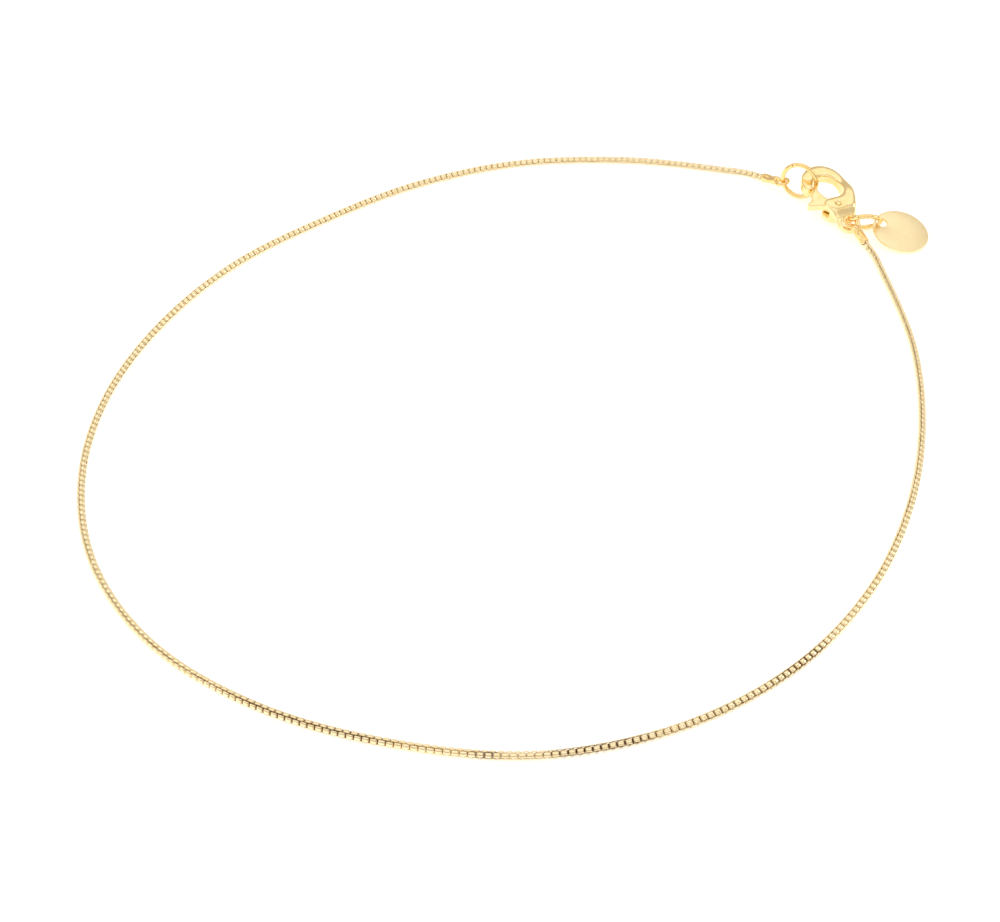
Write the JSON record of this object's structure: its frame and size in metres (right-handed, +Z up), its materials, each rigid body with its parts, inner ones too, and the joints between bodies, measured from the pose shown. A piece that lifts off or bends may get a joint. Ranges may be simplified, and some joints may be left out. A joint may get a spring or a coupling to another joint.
{
  "type": "box chain necklace",
  "caption": "Fine gold-plated box chain necklace lying closed in a loose circle, with a lobster clasp, jump rings, crimp ends and a plain round tag.",
  "frame": {"origin": "middle of the whole necklace as it lies, on the surface that it lies on", "axes": "+Z up from the surface; -Y towards the middle of the chain at the front; the clasp and the tag are at +X, +Y; +X to the right seen from the front"},
  "size_m": [0.1341, 0.1366, 0.0068],
  "materials": {
    "chain_gold": "polished gold plate",
    "clasp_gold": "polished gold plate",
    "lever_gold": "polished gold plate",
    "ring_gold": "polished gold plate",
    "tag_gold": "satin gold plate"
  },
  "bodies": {
    "necklace": {"chain": "chain_gold", "end_cap_left": "ring_gold", "end_cap_right": "ring_gold", "catch_ring": "ring_gold", "clasp_ring": "ring_gold", "clasp_body": "clasp_gold", "clasp_pin": "clasp_gold", "tag": "tag_gold"},
    "lever": {"clasp_lever": "lever_gold"}
  },
  "joints": [
    {"name": "lever_hinge", "type": "hinge", "parent": "necklace", "child": "lever", "pos_m": [0.05208, 0.04991, 0.00216], "axis": [-0.0509, 0.1479, -0.9877], "range_deg": [0, 18], "stiffness_Nm_per_rad": 0.003}
  ]
}
